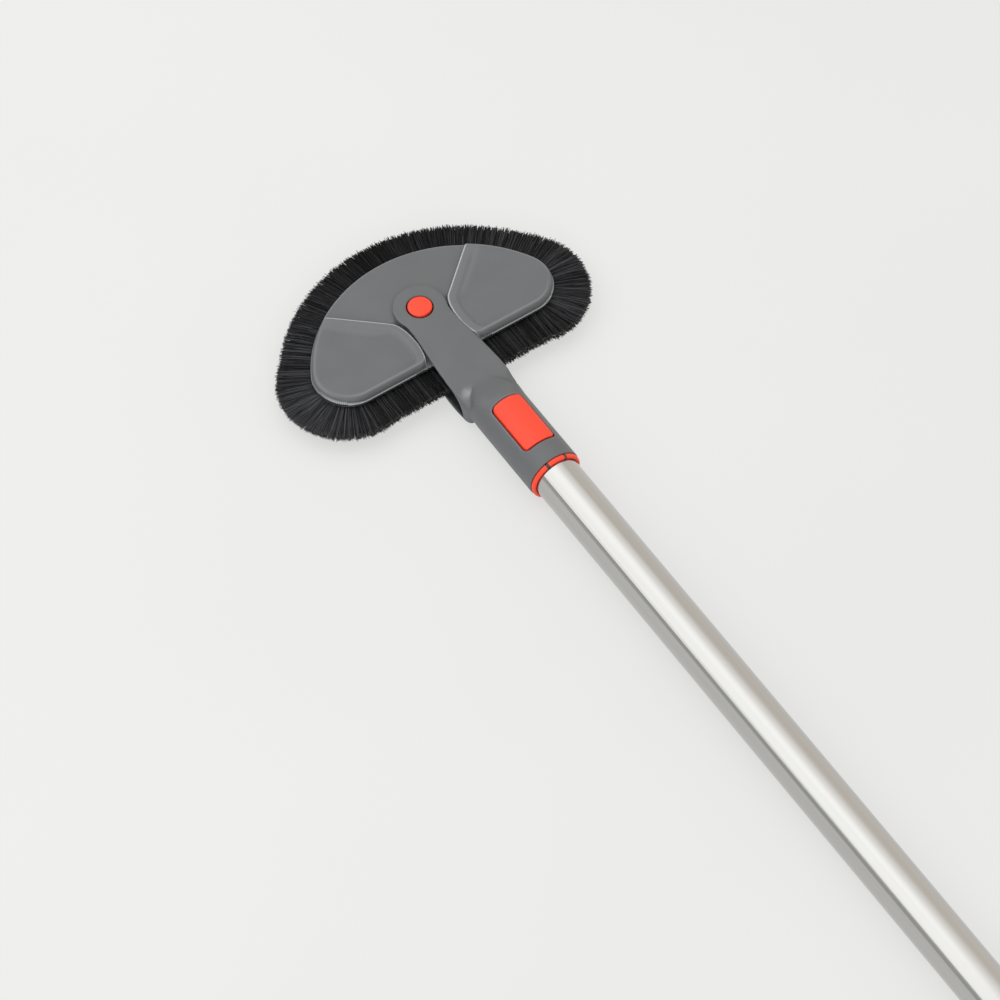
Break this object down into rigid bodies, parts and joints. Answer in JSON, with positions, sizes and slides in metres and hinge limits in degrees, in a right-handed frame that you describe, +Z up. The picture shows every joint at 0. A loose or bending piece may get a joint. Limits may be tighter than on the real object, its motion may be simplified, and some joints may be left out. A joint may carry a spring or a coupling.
{
  "type": "tile brush",
  "caption": "Tile brush: flat D-shaped head with an outward bristle fringe, swivelling in a forked arm with a push-button socket on an aluminium pole.",
  "frame": {"origin": "on the ground below the middle of the whole brush, with the brush lying flat", "axes": "+Y from the hanging cap along the pole to the head, +Z up through the head plate and out of its pivot button, +X to the right when looking from the pole to the head"},
  "size_m": [0.1806, 0.7677, 0.0312],
  "materials": {
    "grey_plastic": "moulded mid grey, fine satin grain",
    "red_plastic": "moulded orange red, smooth",
    "black_bristle": "black nylon strands",
    "aluminium": "drawn tube with fine lengthwise lines",
    "steel": "plain plated steel",
    "grey_rubber": "matt dark grey grip"
  },
  "bodies": {
    "handle": {"arm_fork": "grey_plastic", "pivot_axle": "steel", "pivot_spring": "steel", "collet_ring": "red_plastic", "pole_tube": "aluminium", "pole_plug": "grey_plastic", "button_spring": "steel", "hand_grip": "grey_rubber", "hanging_cap": "red_plastic"},
    "head": {"upper_shell": "grey_plastic", "lower_shell": "grey_plastic", "head_bush": "steel", "bristles_near_left": "black_bristle", "bristles_near_right": "black_bristle", "bristles_far_left": "black_bristle", "bristles_far_right": "black_bristle", "shell_screw_1": "steel", "shell_screw_2": "steel", "shell_screw_3": "steel", "shell_screw_4": "steel", "shell_screw_5": "steel"},
    "pivot_lock": {"pivot_button": "red_plastic", "clamp_washer": "steel", "clamp_screw": "steel"},
    "release": {"release_button": "red_plastic"}
  },
  "joints": [
    {"name": "head_swivel", "type": "hinge", "parent": "handle", "child": "head", "pos_m": [0, 0.3294, 0.0148], "axis": [0, 0, 1], "range_deg": [-20, 20]},
    {"name": "pivot_press", "type": "slide", "parent": "handle", "child": "pivot_lock", "axis": [0, 0, -1], "range_m": [0, 0.001], "stiffness_N_per_m": 3000, "springref_m": -0.002, "deforming": ["pivot_spring"]},
    {"name": "release_press", "type": "slide", "parent": "handle", "child": "release", "axis": [0, 0, -1], "range_m": [0, 0.0026], "stiffness_N_per_m": 2000, "springref_m": -0.003, "deforming": ["button_spring"]}
  ]
}
